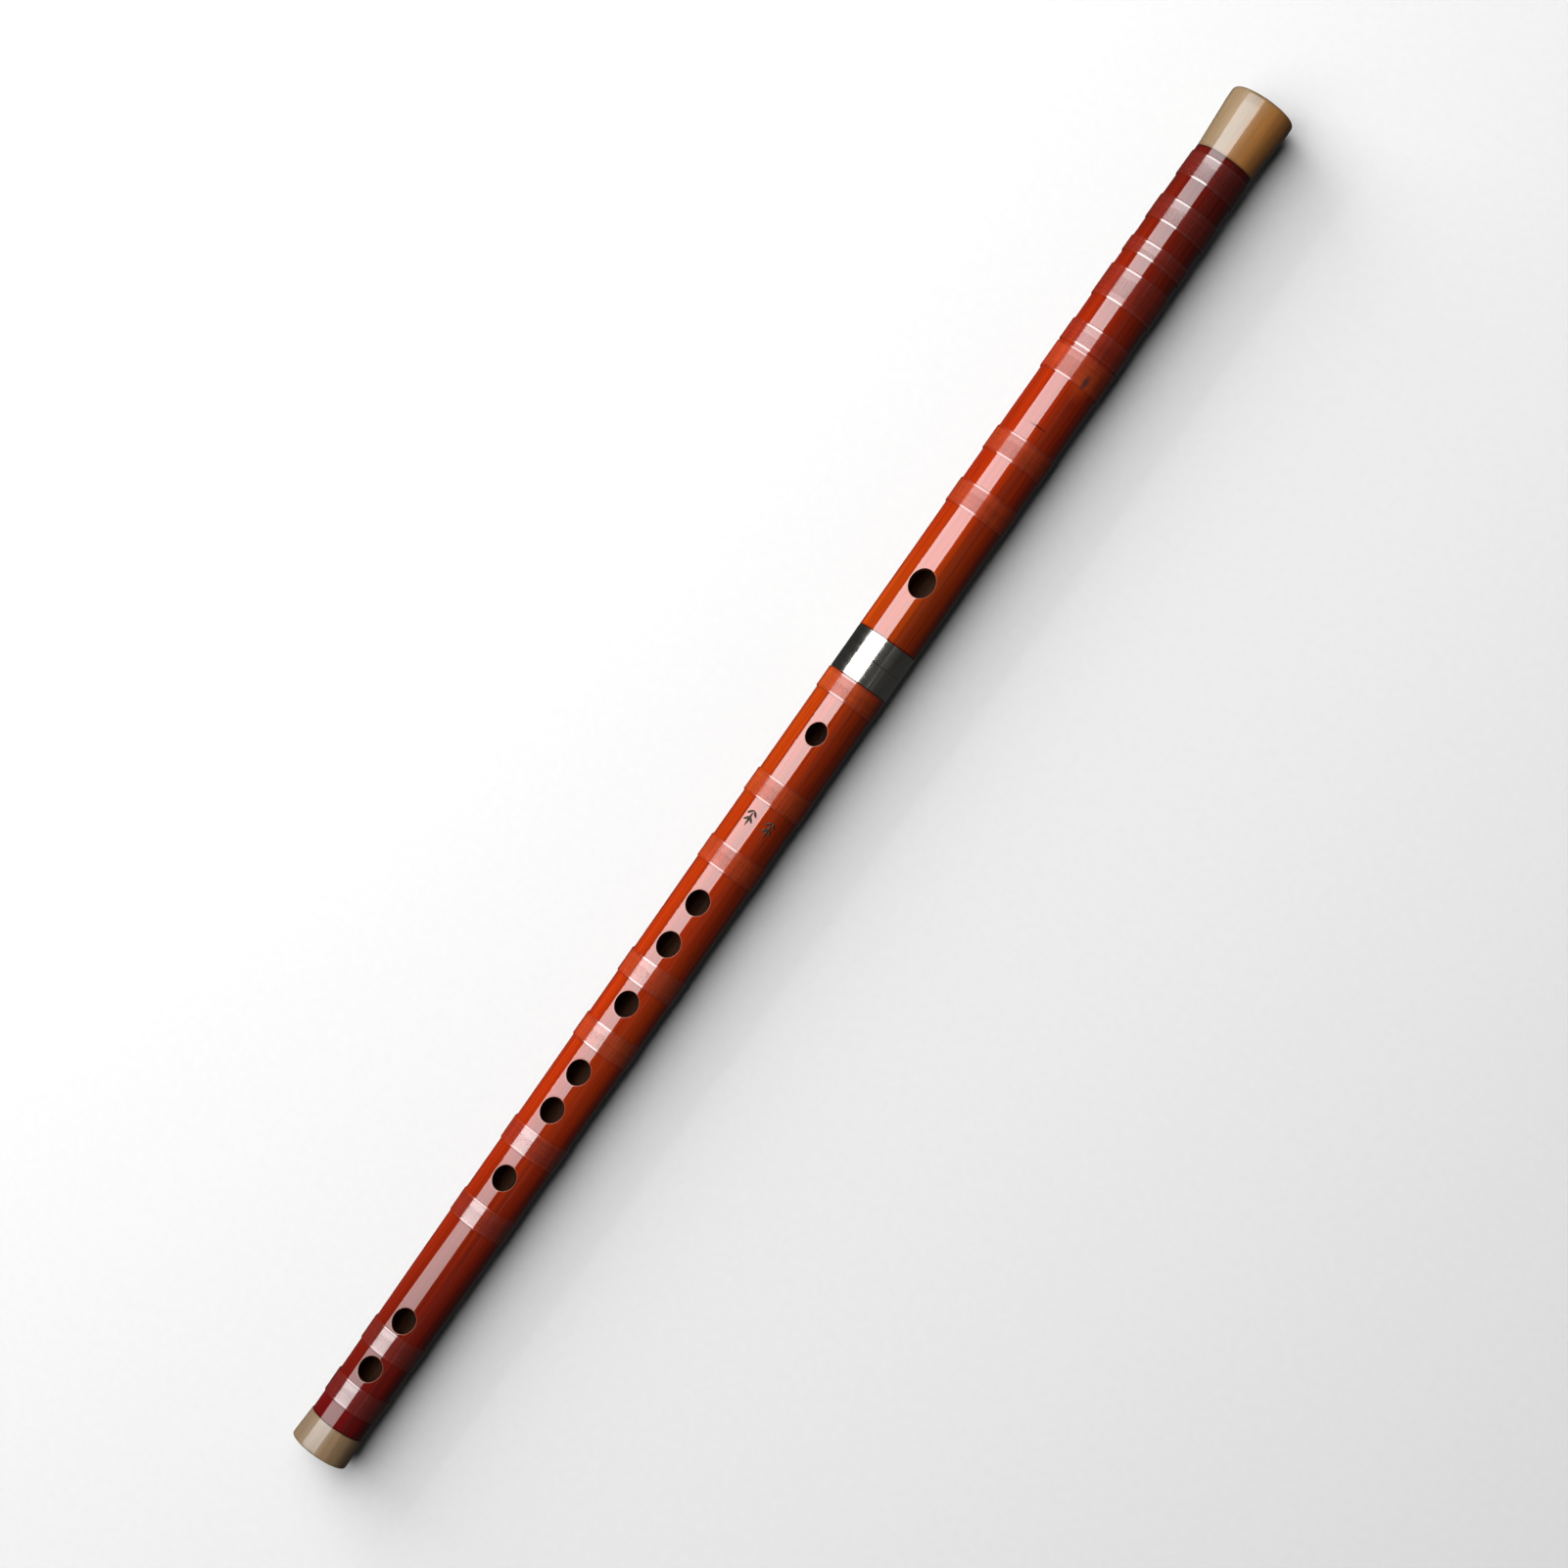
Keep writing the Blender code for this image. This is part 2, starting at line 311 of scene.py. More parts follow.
def seam_darkening(nodes, x):
    """1 on open bamboo, darker close against the caps and the ferrules."""
    seam_factor = 1.0
    for seam in (HEAD_NECK, FOOT_NECK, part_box("head_ferrule")[0].x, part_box("body_ferrule")[1].x):
        away = nodes.math("ABSOLUTE", nodes.math("SUBTRACT", x, seam))
        seam_factor = nodes.product(seam_factor, nodes.span(away, 0.15 * MM, 0.75 * MM, 0.30, 1.0))
    return seam_factor


def spot(nodes, at, half_x, half_turn, soft):
    """1 inside an ellipse on the bamboo at an X and an angle, 0 outside."""
    x, angle = at
    place = nodes.xyz(nodes.place())
    turn = nodes.math("ARCTAN2", place["Y"], nodes.math("SUBTRACT", place["Z"], AXIS_HEIGHT))
    along = nodes.math("DIVIDE", nodes.math("SUBTRACT", place["X"], x), half_x)
    across = nodes.math("DIVIDE", nodes.math("SUBTRACT", turn, radians(angle)), radians(half_turn))
    away = nodes.math("SQRT", nodes.total(nodes.product(along, along), nodes.product(across, across)))
    return nodes.span(away, 1.0 + soft, 1.0 - soft)


def bud_scar(nodes):
    return spot(nodes, BUD_SCAR, 2.6 * MM, 4.5, 0.35)


def joint_mark(nodes):
    return spot(nodes, JOINT_MARK, 0.30 * MM, 14, 0.5)


def lacquered_bamboo():
    """The bamboo itself, with a thin hard gloss over it."""
    material, nodes, shader = finish("lacquered_bamboo", Specular_IOR_Level=0.0, Coat_Weight=1.0,
                                     Coat_Roughness=0.035, Coat_IOR=1.56)
    nodes.set(shader["Base Color"], bamboo_tone(nodes))
    nodes.set(shader["Roughness"], nodes.span(nodes.noise((20, 500, 500)), 0.3, 0.7, 0.32, 0.46))
    fibres = nodes.bump(nodes.noise((25, 1400, 1400), 4.0, 0.6), 0.25, 0.00005)
    dents = nodes.math("MULTIPLY", nodes.total(bud_scar(nodes), joint_mark(nodes)), -1.0)
    nodes.set(shader["Normal"], nodes.bump(dents, 0.6, 0.0003, fibres))
    film = nodes.bump(nodes.noise((60, 320, 320), 2.0, 0.5), 0.12, 0.00005)
    nodes.set(shader["Coat Normal"], nodes.bump(dents, 0.5, 0.0002, film))
    return material


def bore_lacquer():
    """The thin brown lacquer in the bore and down the walls of the holes."""
    material, nodes, shader = finish("bore_lacquer", Specular_IOR_Level=0.06)
    grain = nodes.noise((30, 700, 700), 4.0, 0.6)
    tone = nodes.ramp(grain, (0.3, (0.045, 0.017, 0.008)), (0.7, (0.100, 0.042, 0.021)))
    nodes.set(shader["Base Color"], tone)
    nodes.set(shader["Roughness"], nodes.span(grain, 0.3, 0.7, 0.42, 0.6))
    nodes.set(shader["Normal"], nodes.bump(grain, 0.3, 0.0001))
    return material


def horn(name, warm, pale, rim, neck):
    """Polished horn with soft clouds and faint long streaks, paler on its -Y side than on its +Y side:
    partly the horn's own tones and partly painted light, the lit side painted paler for its sheen and the
    shaded side warmer for the light glowing through the horn.

    Its rim is worn paler and it is darker close to its neck.
    """
    material, nodes, shader = finish(name, Specular_IOR_Level=0.25, Coat_Weight=0.75, Coat_Roughness=0.07,
                                     Subsurface_Weight=0.08, Subsurface_Scale=0.0015,
                                     Subsurface_Radius=(1.0, 0.45, 0.2))
    place = nodes.xyz(nodes.place())
    cloud = nodes.noise((28, 130, 130), 3.0, 0.5)
    swirl = nodes.noise((14, 260, 260), 2.0, 0.5, (5, 0, 0))
    streaks = nodes.noise((9, 1000, 1000), 3.0, 0.6, (1, 0, 0))
    # painted light: pale on the -Y side that faces the lamps, warm on the shaded +Y side
    across = nodes.total(place["Y"], nodes.product(nodes.math("SUBTRACT", cloud, 0.5), 0.008))
    tone = nodes.mix(nodes.span(across, -0.001, 0.0055), rgba(pale), rgba(warm))
    worn = nodes.span(place["X"], rim + (neck - rim) * 0.06, rim)
    # darker in a narrow ring next to the neck
    darker_at_neck = nodes.span(place["X"], neck - (neck - rim) * 0.035, neck)
    tone = nodes.mix(nodes.product(worn, 0.4), tone, rgba(tuple(part * 1.5 for part in pale)))
    tone = nodes.mix(nodes.product(darker_at_neck, 0.75), tone, rgba((0.05, 0.022, 0.010)))
    veil = nodes.product(nodes.span(streaks, 0.3, 0.7, 0.90, 1.08), nodes.span(swirl, 0.3, 0.7, 0.86, 1.12))
    nodes.set(shader["Base Color"], nodes.shaded(tone, veil))
    nodes.set(shader["Roughness"], nodes.span(swirl, 0.3, 0.7, 0.30, 0.42))
    nodes.set(shader["Normal"], nodes.bump(streaks, 0.12, 0.00004))
    return material


def polished_nickel():
    """Nickel plate with fine drawing lines along it and turning marks round it."""
    material, nodes, shader = finish("polished_nickel", Metallic=1.0)
    rings = nodes.noise((5000, 30, 30), 3.0, 0.6)
    lines = nodes.noise((70, 1500, 1500), 3.0, 0.6)
    clouds = nodes.noise((60, 300, 300), 2.0, 0.5, (2, 0, 0))
    tone = nodes.ramp(lines, (0.3, (0.52, 0.51, 0.46)), (0.7, (0.76, 0.74, 0.67)))
    nodes.set(shader["Base Color"], nodes.shaded(tone, nodes.span(clouds, 0.3, 0.7, 0.85, 1.1)))
    nodes.set(shader["Roughness"], nodes.span(rings, 0.3, 0.7, 0.10, 0.20))
    nodes.set(shader["Normal"], nodes.bump(lines, 0.04, 0.00002, nodes.bump(rings, 0.012, 0.00002)))
    return material


def drawn_brass():
    """Plain drawn brass tube, slightly tarnished in clouds."""
    material, nodes, shader = finish("drawn_brass", Metallic=1.0)
    draw = nodes.noise((15, 1800, 1800), 3.0, 0.6)
    tarnish = nodes.noise((120, 120, 120), 3.0)
    tone = nodes.ramp(tarnish, (0.3, (0.62, 0.42, 0.17)), (0.7, (0.80, 0.60, 0.30)))
    nodes.set(shader["Base Color"], tone)
    nodes.set(shader["Roughness"], nodes.span(draw, 0.3, 0.7, 0.16, 0.34))
    nodes.set(shader["Normal"], nodes.bump(draw, 0.1, 0.00002))
    return material


def cork_bark():
    """Natural cork with dark pores."""
    material, nodes, shader = finish("cork", Specular_IOR_Level=0.2)
    pores = nodes.noise((900, 900, 900), 4.0, 0.65)
    tone = nodes.ramp(pores, (0.36, (0.12, 0.06, 0.03)), (0.46, (0.42, 0.26, 0.13)),
                      (0.7, (0.58, 0.39, 0.21)))
    nodes.set(shader["Base Color"], tone)
    nodes.set(shader["Roughness"], nodes.span(pores, 0.3, 0.7, 0.95, 0.8))
    nodes.set(shader["Normal"], nodes.bump(pores, 0.5, 0.0002))
    return material


def thread_finish(name, gloss, index, dull, veil, tint):
    """Thread soaked in lacquer: the bamboo's colour under a paler veil, glossier for a higher index."""
    material, nodes, shader = finish(name, Specular_IOR_Level=0.04, Coat_Weight=gloss,
                                     Coat_Roughness=dull, Coat_IOR=index)
    turns = nodes.span(nodes.noise((2200, 50, 50), 2.0, 0.5), 0.3, 0.7, 0.84, 1.16)
    strands = nodes.span(nodes.noise((130, 1300, 1300), 2.0, 0.5, (4, 0, 0)), 0.3, 0.7, 0.90, 1.10)
    # the bamboo's tone brings its painted shade towards both ends into the thread
    tone = nodes.mix(veil, bamboo_tone(nodes), rgba(tint))
    nodes.set(shader["Base Color"], nodes.shaded(tone, nodes.product(turns, strands)))
    nodes.set(shader["Roughness"], nodes.span(nodes.noise((2500, 60, 60)), 0.3, 0.7, 0.34, 0.52))
    nodes.set(shader["Coat Normal"], nodes.bump(nodes.noise((150, 900, 900), 2.0, 0.5), 0.16, 0.00005))
    return material


def ink():
    """Dark pigment rubbed into a shallow engraving."""
    material, nodes, shader = finish("engraver_ink", Specular_IOR_Level=0.1)
    worn = nodes.noise((1500, 1500, 1500), 3.0, 0.6)
    tone = nodes.ramp(worn, (0.4, (0.008, 0.009, 0.007)), (0.68, (0.060, 0.034, 0.024)))
    nodes.set(shader["Base Color"], tone)
    nodes.set(shader["Roughness"], nodes.span(worn, 0.3, 0.7, 0.6, 0.85))
    nodes.set(shader["Normal"], nodes.bump(worn, 0.3, 0.00005))
    return material


# ---------------------------------------------------------------- turned shapes


def rounded(outline, steps=4):
    """A closed outline of (x, radius, round) points with each corner rounded off."""
    points = []
    count = len(outline)
    for i, (x, r, size) in enumerate(outline):
        corner = Vector((x, r))
        before = Vector(outline[i - 1][:2]) - corner
        after = Vector(outline[(i + 1) % count][:2]) - corner
        if size <= 0:
            points.append(tuple(corner))
            continue
        start = corner + before.normalized() * min(size, before.length * 0.45)
        end = corner + after.normalized() * min(size, after.length * 0.45)
        points += [tuple(bend(start, corner, end, k / steps)) for k in range(steps + 1)]
    return points


def bend(start, corner, end, t):
    """A point on the smooth curve that leaves start for the corner and comes in at end."""
    return start * (1 - t) ** 2 + corner * 2 * t * (1 - t) + end * t ** 2


def on_axis(x, radius, angle):
    return (x, radius * sin(angle), AXIS_HEIGHT + radius * cos(angle))


def outward(mesh):
    shell = bmesh.new()
    shell.from_mesh(mesh)
    bmesh.ops.recalc_face_normals(shell, faces=shell.faces)
    shell.to_mesh(mesh)
    shell.free()


def grid_faces(rows, count, sides):
    """The faces of so many rows of a turned grid whose outline has count points, by row and column."""
    return {(i, j): (i * sides + j, i * sides + (j + 1) % sides,
                     (i + 1) % count * sides + (j + 1) % sides, (i + 1) % count * sides + j)
            for i in range(rows) for j in range(sides)}


def turned(name, outline, material, sides=SIDES, sharp=40, solid=False):
    """A ring turned about the flute's axis from an outline of (x, radius), or a solid with flat ends."""
    count = len(outline)
    faces = list(grid_faces(count - 1 if solid else count, count, sides).values())
    if solid:
        faces += [tuple(range(sides)), tuple(range((count - 1) * sides, count * sides))]
    mesh = bpy.data.meshes.new(name)
    mesh.from_pydata([on_axis(x, r, tau * j / sides) for x, r in outline for j in range(sides)], [], faces)
    mesh.materials.append(material)
    outward(mesh)
    mesh.shade_smooth()
    mesh.set_sharp_from_angle(angle=radians(sharp))
    return shown(name, mesh)


def end_cap(name, rim, neck, rim_radius, neck_radius, corner, material):
    """A horn cap: its outside tapers from the rim to the neck, and its end wall leaves the bore open."""
    inward = 1 if neck > rim else -1
    seat = neck_radius - CAP_WALL
    outline = [(rim, BORE_RADIUS, 0.5 * MM), (rim, rim_radius, corner),
               (rim + inward * corner * 2.3, rim_radius, 0.5 * MM), (neck, neck_radius, 0.15 * MM),
               (neck, seat, 0.1 * MM), (rim + inward * CAP_LIP, seat, 0),
               (rim + inward * CAP_LIP, BORE_RADIUS, 0)]
    return turned(name, rounded(outline, 6), material)


def ferrule(name, bamboo_end, joint_end, material):
    """A thin ring of nickel with a fine bead where the two sections meet."""
    inside = FERRULE_RADIUS - FERRULE_WALL
    step = 0.5 * MM if joint_end > bamboo_end else -0.5 * MM
    outline = [(bamboo_end, inside, 0), (bamboo_end, FERRULE_RADIUS, 0.25 * MM),
               (joint_end - step * 1.6, FERRULE_RADIUS, 0.1 * MM),
               (joint_end - step * 1.3, FERRULE_RADIUS - 0.06 * MM, 0.1 * MM),
               (joint_end - step, FERRULE_RADIUS, 0.1 * MM),
               (joint_end, FERRULE_RADIUS, 0.18 * MM), (joint_end, inside, 0)]
    return turned(name, rounded(outline), material)


def sleeve(name, start, end, radius, bore, material):
    """A plain tube with broken edges."""
    outline = [(start, bore, 0.12 * MM), (start, radius, 0.25 * MM),
               (end, radius, 0.25 * MM), (end, bore, 0.12 * MM)]
    return turned(name, rounded(outline), material)


def cork(material):
    low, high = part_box("cork_stopper")
    core = CORK_RADIUS * 0.6
    shoulder = CORK_RADIUS - CORK_BEVEL
    outline = [(low.x, core), (low.x, shoulder), (low.x + CORK_BEVEL, CORK_RADIUS),
               (high.x - CORK_BEVEL, CORK_RADIUS), (high.x, shoulder), (high.x, core)]
    return turned("cork", outline, material, CORK_SIDES, 35, solid=True)


# ---------------------------------------------------------------- bamboo with its holes


def bamboo_radius(x):
    """Outer radius of the finished bamboo: it swells from the head cap and tapers to the foot."""
    if x < PARTING:
        short = max(0.0, min(1.0, 1 - (x - HEAD_NECK) / SWELL_LENGTH))
        return HEAD_TUBE_RADIUS - (HEAD_TUBE_RADIUS - HEAD_CAP_NECK) * short ** 2
    down = (x - PARTING) / (FOOT_NECK - PARTING)
    return BODY_TUBE_RADIUS - (BODY_TUBE_RADIUS - FOOT_TUBE_RADIUS) * max(down, 0) ** TAPER_POWER


class Hole:
    """An oval hole, and the patch of the tube's grid that it takes out of both walls."""

    def __init__(self, name, size, stock, below=False, undercut=UNDERCUT, bore_round=RIM_ROUND):
        box = next(o["box_m"] for o in frame["record"]["physics"]["openings"] if o["name"] == name)
        self.x = (box[0][0] + box[1][0]) / 2
        self.half_x = size[0] / 2
        self.half_y = size[1] / 2
        # the straight stock is drawn in to the finished radius later, so the hole starts wider
        self.wide = stock / bamboo_radius(self.x)
        self.side = -1 if below else 1
        self.middle = SIDES // 2 if below else 0
        self.near = self.bore_near = self.x - self.half_x - PATCH_MARGIN
        self.far = self.bore_far = self.x + self.half_x + PATCH_MARGIN
        self.undercut = undercut
        self.bore_round = bore_round


def share_rows(holes):
    """Gives holes that pass each other, above and below, one common stretch of rows."""
    for one in holes:
        for other in holes:
            if one.near < other.far and other.near < one.far:
                one.near = other.near = one.bore_near = other.bore_near = min(one.near, other.near)
                one.far = other.far = one.bore_far = other.bore_far = max(one.far, other.far)


def outer_spans(holes):
    return {(hole.near, hole.far) for hole in holes}


def bore_spans(holes):
    return {(hole.bore_near, hole.bore_far) for hole in holes}


def rows_between(start, end, spans, spacing, patch_rows):
    """X of each row from start to end, with even rows across each hole's patch."""
    rows = []
    place = start
    for near, far in sorted(spans):
        if near - place > spacing * 0.3:
            count = max(1, round((near - place) / spacing))
            rows += [place + (near - place) * k / count for k in range(count)]
        rows += [near + (far - near) * k / patch_rows for k in range(patch_rows)]
        place = far
    count = max(1, round((end - place) / spacing))
    return rows + [place + (end - place) * k / count for k in range(count + 1)]


def bamboo_stock(name, radius, outside, inside, holes):
    """Straight bamboo stock with its holes already cut, slightly undercut and rounded at the rim.

    outside and inside are (x, radius) lists, head end to foot end and back. The point attribute
    "outer" says how far a point goes with the outer wall, and the face attribute "bored" marks
    the bore and the walls of the holes.
    """
    outline = outside + inside
    count = len(outline)
    points = [on_axis(x, r, tau * j / SIDES) for x, r in outline for j in range(SIDES)]
    outer = [1.0 if i < len(outside) and abs(outline[i][1] - radius) < 1e-6 else 0.0
             for i in range(count) for j in range(SIDES)]
    taken = set()
    strips = []
    for hole in holes:
        loops = []
        for wall, wall_radius, half, near, far in (
                (range(len(outside)), radius, PATCH_SIDES, hole.near, hole.far),
                (range(len(outside), count), BORE_RADIUS, PATCH_BORE_SIDES, hole.bore_near, hole.bore_far)):
            rows = [i for i in wall if near - 1e-6 < outline[i][0] < far + 1e-6
                    and abs(outline[i][1] - wall_radius) < 1e-6]
            low, high = min(rows), max(rows)
            taken |= {(i, (hole.middle + j) % SIDES) for i in range(low, high) for j in range(-half, half)}
            rows.sort(key=lambda i: outline[i][0])
            edge = [(rows[-1], j) for j in range(0, half)]
            edge += [(i, half) for i in reversed(rows[1:])]
            edge += [(rows[0], j) for j in range(half, -half, -1)]
            edge += [(i, -half) for i in rows[:-1]]
            edge += [(rows[-1], j) for j in range(-half, 0)]
            loops.append((edge, wall_radius))
        strips.append(hole_walls(hole, loops, outline, points, outer))
    faces = [face for at, face in grid_faces(count, count, SIDES).items() if at not in taken]
    bored = [face[0] // SIDES >= len(outside) - 1 for face in faces]
    for strip, kinds in strips:
        faces += strip
        bored += kinds
    mesh = bpy.data.meshes.new(name)
    mesh.from_pydata(points, [], faces)
    mesh.attributes.new("outer", "FLOAT", "POINT").data.foreach_set("value", outer)
    mesh.attributes.new("bored", "BOOLEAN", "FACE").data.foreach_set("value", bored)
    outward(mesh)
    return shown(name, mesh)


def hole_walls(hole, loops, outline, points, outer):
    """Adds rings of points from the outer patch over the rim, down the hole and into the bore."""
    (outer_edge, outer_radius), (inner_edge, inner_radius) = loops
    total = len(outer_edge)
    paths = [hole_path(hole, outer_edge[k], inner_edge[k], outer_radius, inner_radius, outline,
                       tau * k / total) for k in range(total)]
    length = len(paths[0])
    rings = [[i * SIDES + (hole.middle + j) % SIDES for i, j in outer_edge]]
    for n in range(length):
        start = len(points)
        points += [tuple(path[n]) for path in paths]
        # the throat of the hole moves less and less with the outer wall as it nears the bore
        outer += [1.0 if n <= RIM_END else THROAT_SHARES.get(n, 0.0)] * total
        rings.append(list(range(start, start + total)))
    rings.append([i * SIDES + (hole.middle + j) % SIDES for i, j in inner_edge])
    faces = []
    bored = []
    for n, (upper, lower) in enumerate(zip(rings, rings[1:])):
        for k in range(total):
            after = (k + 1) % total
            faces.append((upper[k], upper[after], lower[after], lower[k]))
            bored.append(n >= BORED_FROM)
    return faces, bored


def hole_path(hole, outer_at, inner_at, outer_radius, inner_radius, outline, turn):
    """Points from the outer patch's edge to the inner patch's edge, at one direction round the hole."""
    side = Vector((cos(turn), sin(turn)))

    def on_wall(radius, x, y, drop=0.0):
        return Vector((x, y * hole.side, AXIS_HEIGHT + hole.side * ((radius ** 2 - y ** 2) ** 0.5 - drop)))

    def oval(radius, grow, wide=1.0, drop=0.0):
        return on_wall(radius, hole.x + (hole.half_x + grow) * side.x,
                       (hole.half_y * wide + grow) * side.y, drop)

    def towards(at, radius, grow, wide, share):
        row, column = at
        x = outline[row][0]
        y = radius * sin(tau * column / SIDES)
        x += (hole.x + (hole.half_x + grow) * side.x - x) * share
        y += ((hole.half_y * wide + grow) * side.y - y) * share
        return on_wall(radius, x, y)

    lip = oval(outer_radius, RIM_ROUND, hole.wide)
    corner = oval(outer_radius, 0, hole.wide)
    throat = oval(outer_radius, 0, hole.wide, RIM_ROUND)
    low_throat = oval(inner_radius, hole.undercut, 1.0, -hole.bore_round)
    low_corner = oval(inner_radius, hole.undercut)
    low_lip = oval(inner_radius, hole.undercut + hole.bore_round)
    path = [towards(outer_at, outer_radius, RIM_ROUND, hole.wide, share) for share in (0.35, 0.7)]
    path += [bend(lip, corner, throat, t / 4) for t in range(5)]
    path += [throat.lerp(low_throat, t) for t in (0.33, 0.67)]
    path += [bend(low_throat, low_corner, low_lip, t / 3) for t in range(4)]
    grow = hole.undercut + hole.bore_round
    path += [towards(inner_at, inner_radius, grow, 1.0, share) for share in (0.7, 0.35)]
    return path


def bamboo_growth():
    """The rule of the bamboo's outside: from its widest place it narrows by a power of the distance.

    A slow noise adds the slight swellings and flats that a grown cane has.
    """
    number = "NodeSocketFloat"
    tree, nodes, given = geometry_tree(
        "Bamboo Growth", Widest_Place=(number, 0.0), Run=(number, 0.1), Widest_Radius=(number, 0.0126),
        Narrow_Radius=(number, 0.0112), Power=(number, 1.5), Unevenness=(number, 0.00042),
        Seed=(number, 1.0), Skin=("NodeSocketMaterial", None), Bore=("NodeSocketMaterial", None))
    place = nodes.xyz(nodes.add("GeometryNodeInputPosition").outputs[0])
    down = nodes.math("SUBTRACT", place["X"], given["Widest Place"])
    down = nodes.math("DIVIDE", down, given["Run"], clamp=True)
    narrowing = nodes.product(nodes.math("SUBTRACT", given["Narrow Radius"], given["Widest Radius"]),
                              nodes.math("POWER", down, given["Power"]))
    height = nodes.math("SUBTRACT", place["Z"], AXIS_HEIGHT)
    slow = nodes.vector(nodes.product(place["X"], 0.12), place["Y"], height)
    cane = nodes.add("ShaderNodeTexNoise", {"Vector": slow, "W": given["Seed"], "Scale": 62.0,
                                            "Detail": 1.0}, noise_dimensions="4D")
    uneven = nodes.product(nodes.math("SUBTRACT", cane.outputs["Fac"], 0.5), given["Unevenness"], 2.0)
    growth = nodes.product(nodes.total(narrowing, uneven), nodes.attribute("outer", "FLOAT"))
    across = nodes.vector(0.0, place["Y"], height)
    straight = nodes.add("ShaderNodeVectorMath", {0: across}, operation="NORMALIZE").outputs[0]
    move = nodes.add("ShaderNodeVectorMath", {0: straight, "Scale": growth}, operation="SCALE").outputs[0]
    grown = nodes.add("GeometryNodeSetPosition", {"Geometry": given["Geometry"], "Offset": move})
    real = nodes.add("GeometryNodeRealizeInstances", {0: grown.outputs[0]})
    skinned = nodes.add("GeometryNodeSetMaterial", {"Geometry": real.outputs[0], "Material": given["Skin"]})
    lined = nodes.add("GeometryNodeSetMaterial", {"Geometry": skinned.outputs[0], "Material": given["Bore"],
                                                  "Selection": nodes.attribute("bored", "BOOLEAN")})
    nodes.add("NodeGroupOutput", {"Geometry": lined.outputs[0]})
    return tree


def head_bamboo(growth, skin, bore):
    """Upper section: spigot under the cap, plain wall, rebate under the ferrule, tenon seat."""
    # the tenon seat begins close below the blow hole, so that hole isn't undercut
    blow = Hole("blow_hole", BLOW_HOLE, HEAD_TUBE_RADIUS, undercut=0.0, bore_round=0.1 * MM)
    blow.bore_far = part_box("tenon_tube")[0].x - GAP - 0.03 * MM
    start = HEAD_END + CAP_LIP + GAP
    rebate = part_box("head_ferrule")[0].x - SHOULDER_GAP
    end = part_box("head_tube")[1].x
    neck = HEAD_NECK + SHOULDER_GAP
    spigot = HEAD_CAP_NECK - CAP_WALL - GAP
    seat = FERRULE_RADIUS - FERRULE_WALL - GAP
    tenon_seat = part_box("tenon_tube")[0].x - GAP
    rows = rows_between(neck, rebate, outer_spans([blow]), ROW_SPACING, PATCH_ROWS)
    outside = [(start, spigot), (neck, spigot)] + [(x, HEAD_TUBE_RADIUS) for x in rows]
    outside += [(rebate, seat), (end, seat)]
    bore_rows = rows_between(start, tenon_seat, bore_spans([blow]), BORE_ROW_SPACING, PATCH_BORE_ROWS)
    inside = [(end, TENON_RADIUS + GAP), (tenon_seat, TENON_RADIUS + GAP)]
    inside += [(x, BORE_RADIUS) for x in reversed(bore_rows)]
    stock = bamboo_stock("head_stock", HEAD_TUBE_RADIUS, outside, inside, [blow])
    give_tree(stock, growth, Widest_Place=HEAD_NECK + SWELL_LENGTH, Run=-SWELL_LENGTH,
              Widest_Radius=HEAD_TUBE_RADIUS, Narrow_Radius=HEAD_CAP_NECK, Power=2.0, Seed=3.0,
              Skin=skin, Bore=bore)
    return made_plain(stock, "bamboo_head", 50)


def body_bamboo(growth, skin, bore):
    """Lower section: ferrule rebate, wall with its holes, spigot under the foot cap."""
    holes = [Hole("membrane_hole", MEMBRANE_HOLE, BODY_TUBE_RADIUS)]
    holes += [Hole(f"finger_hole_{i}", FINGER_HOLE, BODY_TUBE_RADIUS) for i in range(1, 7)]
    holes += [Hole(f"pitch_hole_{i}", FINGER_HOLE, BODY_TUBE_RADIUS) for i in range(1, 3)]
    holes += [Hole(f"tassel_hole_{i}", TASSEL_HOLE, BODY_TUBE_RADIUS, below=True) for i in range(1, 3)]
    share_rows(holes)
    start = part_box("body_tube")[0].x
    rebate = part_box("body_ferrule")[1].x + SHOULDER_GAP
    end = FOOT_END - CAP_LIP - GAP
    neck = FOOT_NECK - SHOULDER_GAP
    spigot = FOOT_CAP_NECK - CAP_WALL - GAP
    seat = FERRULE_RADIUS - FERRULE_WALL - GAP
    socket_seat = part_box("socket_tube")[1].x + GAP
    rows = rows_between(rebate, neck, outer_spans(holes), ROW_SPACING, PATCH_ROWS)
    outside = [(start, seat), (rebate, seat)] + [(x, BODY_TUBE_RADIUS) for x in rows]
    outside += [(neck, spigot), (end, spigot)]
    bore_rows = rows_between(socket_seat, end, bore_spans(holes), BORE_ROW_SPACING, PATCH_BORE_ROWS)
    inside = [(x, BORE_RADIUS) for x in reversed(bore_rows)]
    inside += [(socket_seat, SOCKET_RADIUS + GAP), (start, SOCKET_RADIUS + GAP)]
    stock = bamboo_stock("body_stock", BODY_TUBE_RADIUS, outside, inside, holes)
    give_tree(stock, growth, Widest_Place=PARTING, Run=FOOT_NECK - PARTING, Widest_Radius=BODY_TUBE_RADIUS,
              Narrow_Radius=FOOT_TUBE_RADIUS, Power=TAPER_POWER, Seed=8.0, Skin=skin, Bore=bore)
    return made_plain(stock, "bamboo_body", 50)


# ---------------------------------------------------------------- thread bindings


